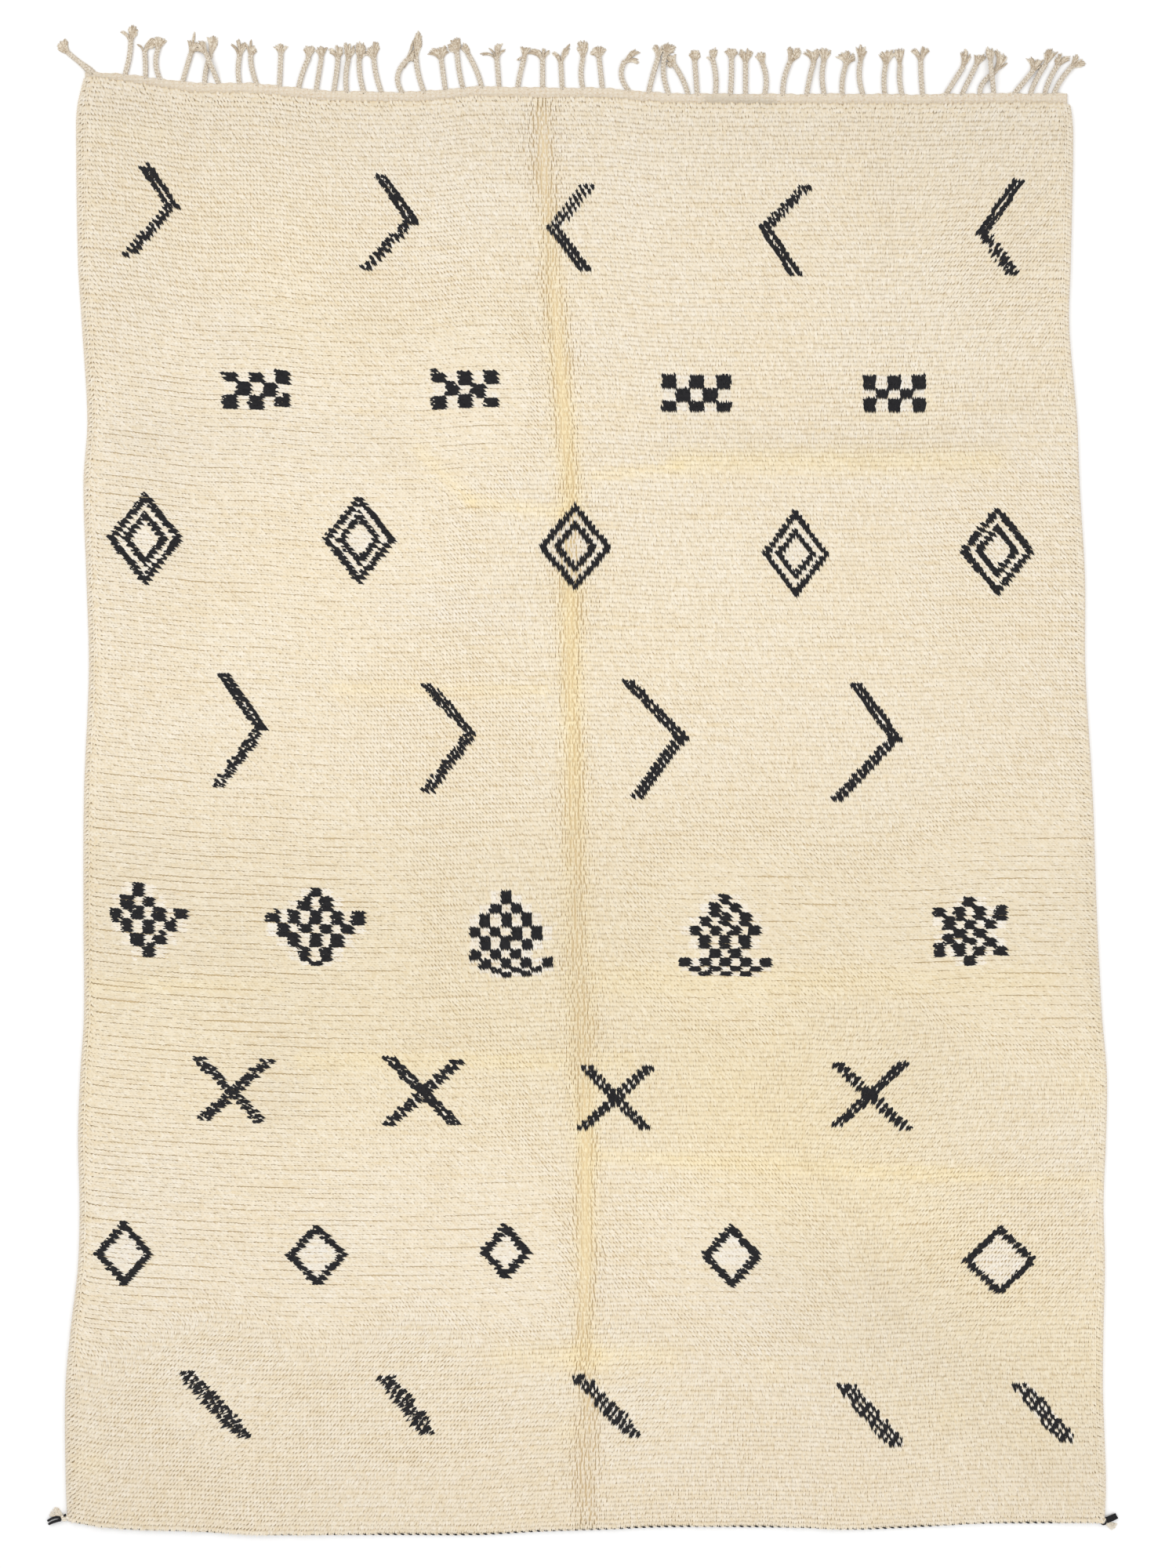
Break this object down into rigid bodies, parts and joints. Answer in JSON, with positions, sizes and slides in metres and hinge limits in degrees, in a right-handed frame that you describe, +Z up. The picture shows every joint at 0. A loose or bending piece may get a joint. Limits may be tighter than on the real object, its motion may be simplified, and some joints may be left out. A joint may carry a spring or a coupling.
{
  "type": "beni ourain rug",
  "caption": "Hand-knotted wool rug lying flat, cream pile with charcoal geometric motifs, plaited warp tassels at one end and a twined cord at the other.",
  "frame": {"origin": "centre of the rug's bounding box, on the floor that it lies on", "axes": "+Z up from the floor, +Y along the rug towards the end with plaited tassels, +X across it to the right"},
  "size_m": [2.1912, 3.0814, 0.015],
  "materials": {
    "pile_wool": "cream wool knotted pile, matt",
    "warp_wool": "undyed spun wool warps, flat-woven and plaited",
    "binding_wool": "overcast wool binding",
    "charcoal_wool": "charcoal wool yarn, matt"
  },
  "bodies": {
    "root": {"pile_field": "pile_wool", "fringe_band": "warp_wool", "header_cord": "charcoal_wool", "selvedge_left": "binding_wool", "selvedge_right": "binding_wool", "corner_tassel_left": "charcoal_wool", "corner_tassel_right": "charcoal_wool"}
  },
  "joints": []
}
